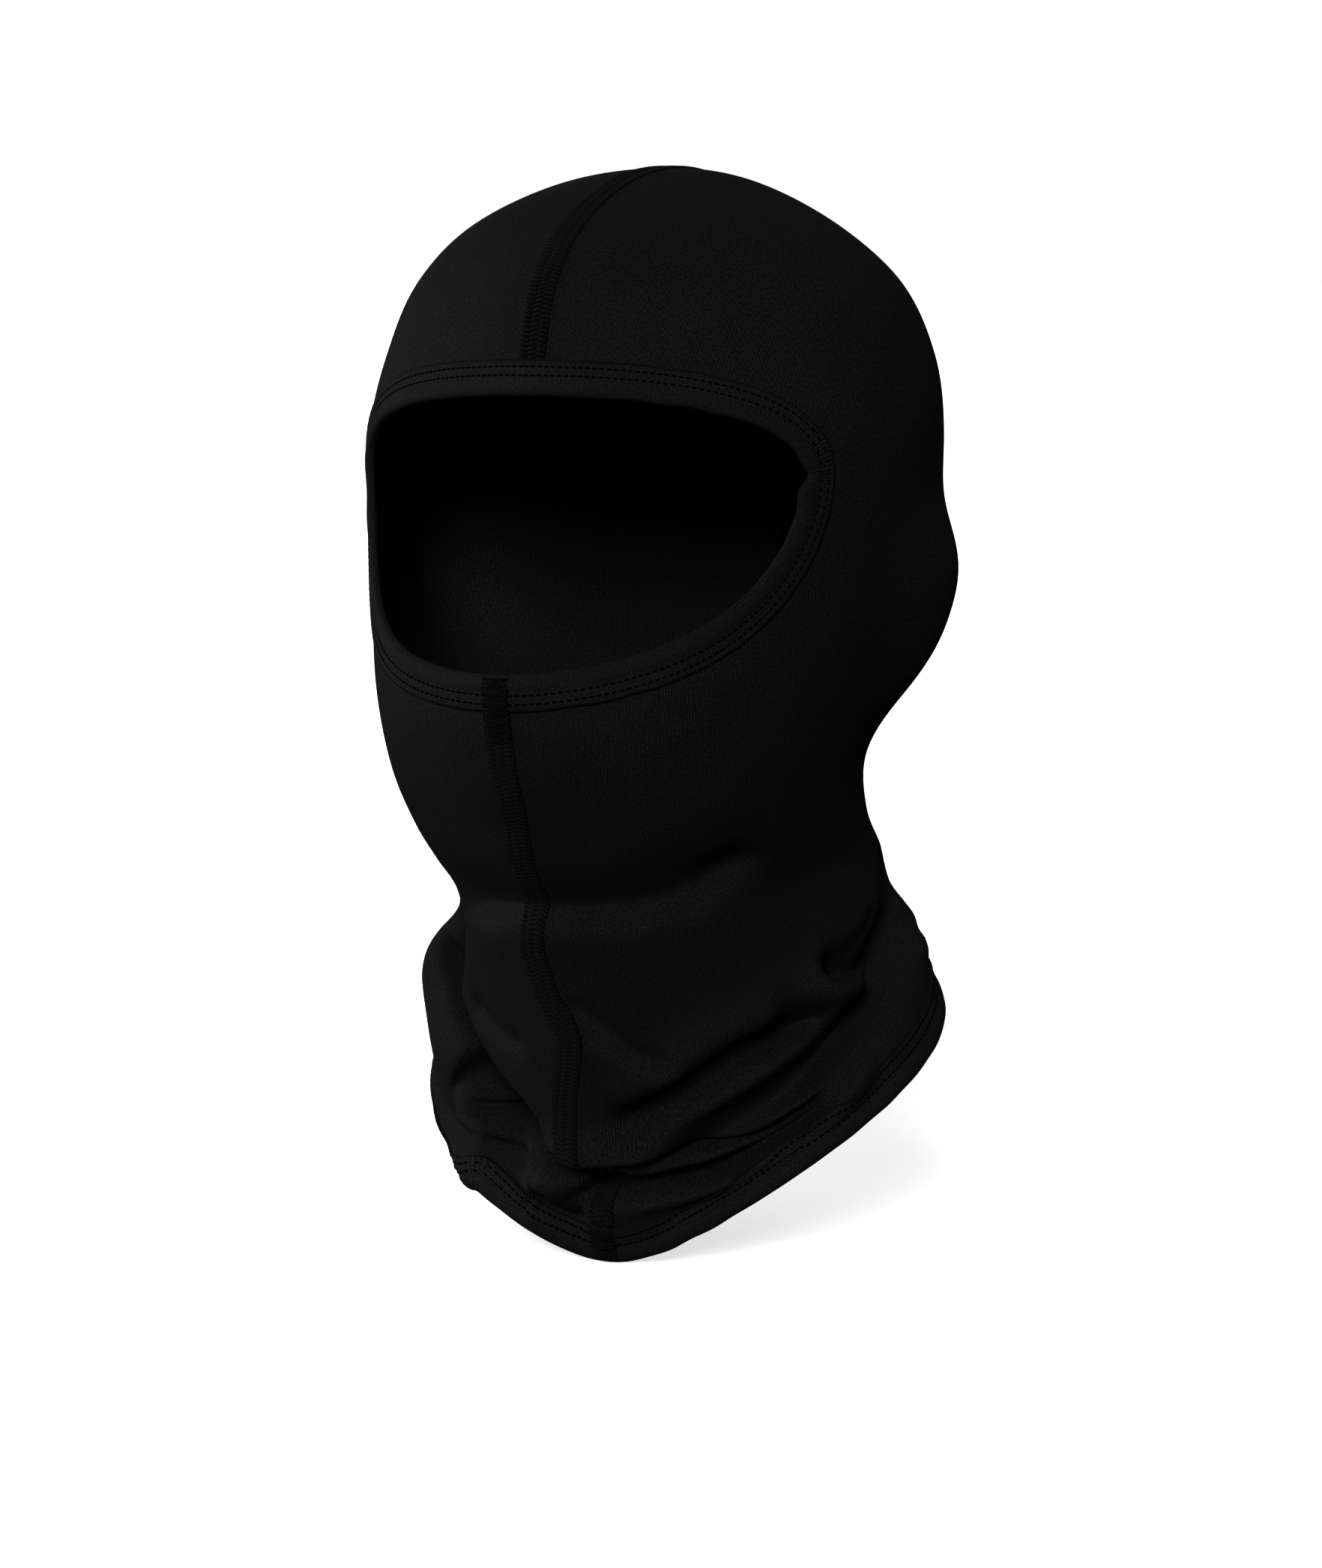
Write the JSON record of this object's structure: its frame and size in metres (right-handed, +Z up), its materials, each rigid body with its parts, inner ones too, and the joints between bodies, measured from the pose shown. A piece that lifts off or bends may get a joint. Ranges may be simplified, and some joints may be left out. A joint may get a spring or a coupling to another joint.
{
  "type": "balaclava",
  "caption": "Close-fitting black knitted balaclava with one face opening, flat seams over the crown and chin, bound edges and a loose neck that spreads over the shoulders.",
  "frame": {"origin": "middle of the wearer's head inside the hood, level with the ears", "axes": "+Z up through the crown, -Y the way the wearer faces, +X the wearer's left"},
  "size_m": [0.1828, 0.2181, 0.3357],
  "materials": {
    "knit": "smooth stretch jersey, matt with a soft sheen",
    "binding_tape": "fine ribbed knitted tape, matt",
    "thread": "spun polyester thread, matt",
    "label_satin": "blank woven satin, soft sheen"
  },
  "bodies": {
    "root": {"left_panel": "knit", "right_panel": "knit", "face_binding": "binding_tape", "hem_binding": "binding_tape", "crown_seam_cover_thread": "thread", "crown_seam_under_thread": "thread", "front_seam_cover_thread": "thread", "front_seam_under_thread": "thread", "face_stitch_row_inner": "thread", "face_stitch_row_outer": "thread", "face_looper_thread": "thread", "hem_stitch_row_lower": "thread", "hem_stitch_row_upper": "thread", "hem_looper_thread": "thread", "chin_bar_tack": "thread", "front_hem_bar_tack": "thread", "care_label": "label_satin"}
  },
  "joints": []
}
